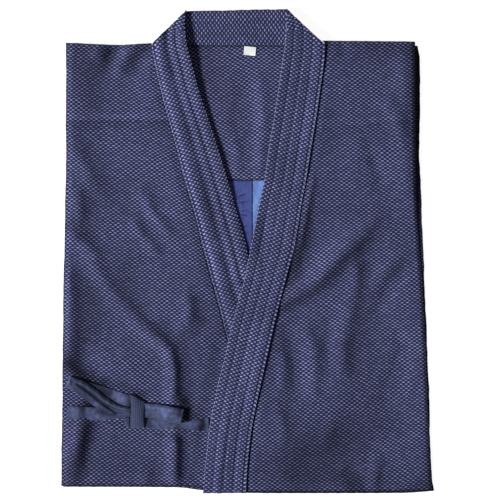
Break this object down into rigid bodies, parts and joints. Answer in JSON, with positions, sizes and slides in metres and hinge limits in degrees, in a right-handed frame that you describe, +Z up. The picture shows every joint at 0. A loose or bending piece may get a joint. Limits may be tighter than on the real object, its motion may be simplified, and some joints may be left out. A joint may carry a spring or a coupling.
{
  "type": "kendo jacket",
  "caption": "Thick woven training jacket laid flat, crossed fronts with a quilted collar strip, tied bow at the side, open V at the neck showing yoke and linings",
  "frame": {"origin": "centre of the laid-out jacket's outline, on the surface it rests on", "axes": "+Z up off the surface with the fronts on top, +Y toward the neck, +X toward the side of the upper front"},
  "size_m": [0.636, 0.824, 0.0353],
  "materials": {
    "folded_sashiko": "matte woven cotton",
    "yoke_sashiko": "matte woven cotton",
    "navy_lining": "smooth plain cotton",
    "light_blue_lining": "smooth plain cotton",
    "front_sashiko_lower": "matte woven cotton",
    "front_sashiko_upper": "matte woven cotton",
    "collar_sashiko_lower": "matte woven cotton",
    "collar_sashiko_upper": "matte woven cotton",
    "collar_sashiko_neck": "matte woven cotton",
    "label_cloth": "plain woven tape",
    "side_tape": "plain cotton tape",
    "band_tape": "plain cotton tape",
    "tail_tape": "plain cotton tape",
    "loop_tape": "plain cotton tape",
    "knot_tape": "plain cotton tape"
  },
  "bodies": {
    "root": {"folded_back_and_sleeves": "folded_sashiko", "back_yoke_inside": "yoke_sashiko", "lining_navy": "navy_lining", "lining_light_blue": "light_blue_lining", "front_lower": "front_sashiko_lower", "front_upper": "front_sashiko_upper", "collar_band_lower": "collar_sashiko_lower", "collar_band_upper": "collar_sashiko_upper", "collar_back_neck": "collar_sashiko_neck", "size_label": "label_cloth", "tie_side_tape": "side_tape", "tie_band_tape": "band_tape", "tie_tail": "tail_tape", "tie_loop": "loop_tape", "tie_knot": "knot_tape"}
  },
  "joints": []
}
